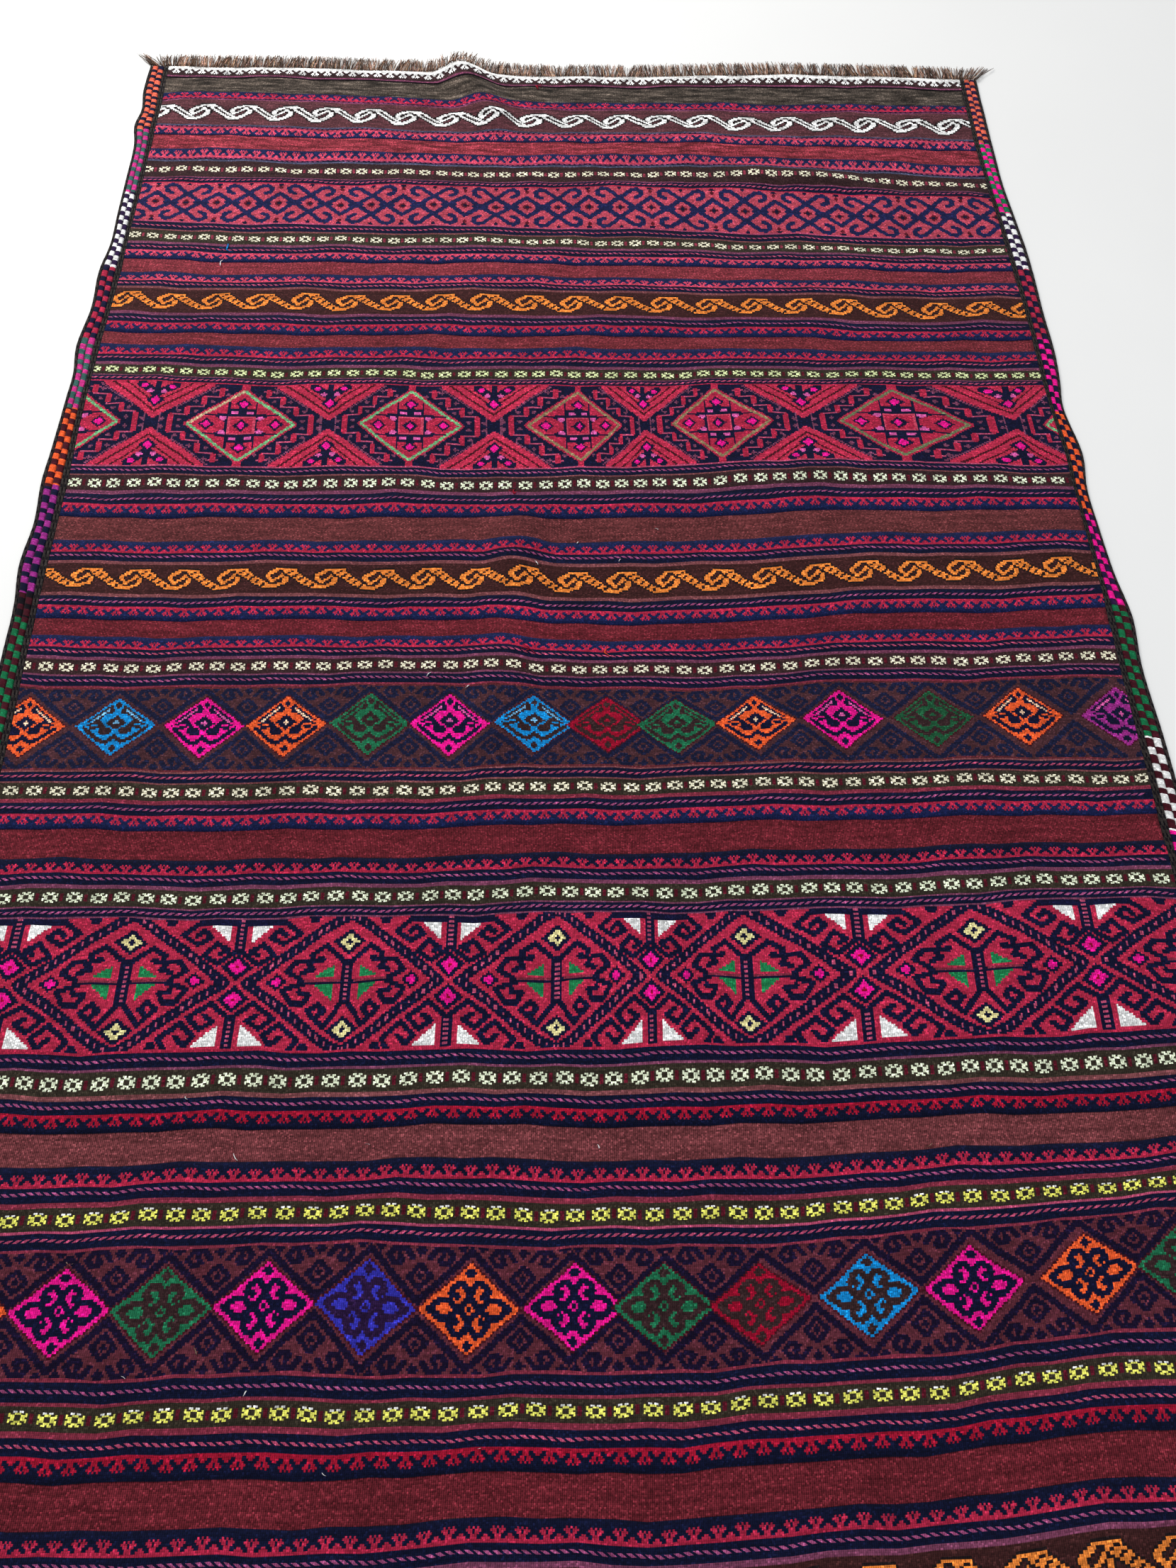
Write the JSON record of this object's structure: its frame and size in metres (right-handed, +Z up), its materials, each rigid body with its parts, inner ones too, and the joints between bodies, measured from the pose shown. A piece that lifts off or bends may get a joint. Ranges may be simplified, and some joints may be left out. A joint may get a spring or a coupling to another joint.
{
  "type": "kilim rug",
  "caption": "Long flat-woven wool rug with patterned cross bands, corded side bindings and a short warp fringe at each end, lying on a floor with a few low ripples.",
  "frame": {"origin": "middle of the whole rug at floor level", "axes": "+X across the rug, +Y along it towards the end with the raised ripple, +Z up"},
  "size_m": [1.757, 3.9292, 0.0266],
  "materials": {
    "cloth": "wool in plain and brocaded weft-faced weave, crimson, navy, maroon and dark brown bands, matt with a faint sheen",
    "binding": "dark goat-hair cords, two of them overcast in blocks of coloured wool",
    "fringe": "undyed grey-brown wool warp ends, matt and slightly fuzzy"
  },
  "bodies": {
    "root": {"kilim": "cloth", "selvedge_left": "binding", "selvedge_right": "binding", "fringe_far": "fringe", "fringe_near": "fringe"}
  },
  "joints": []
}
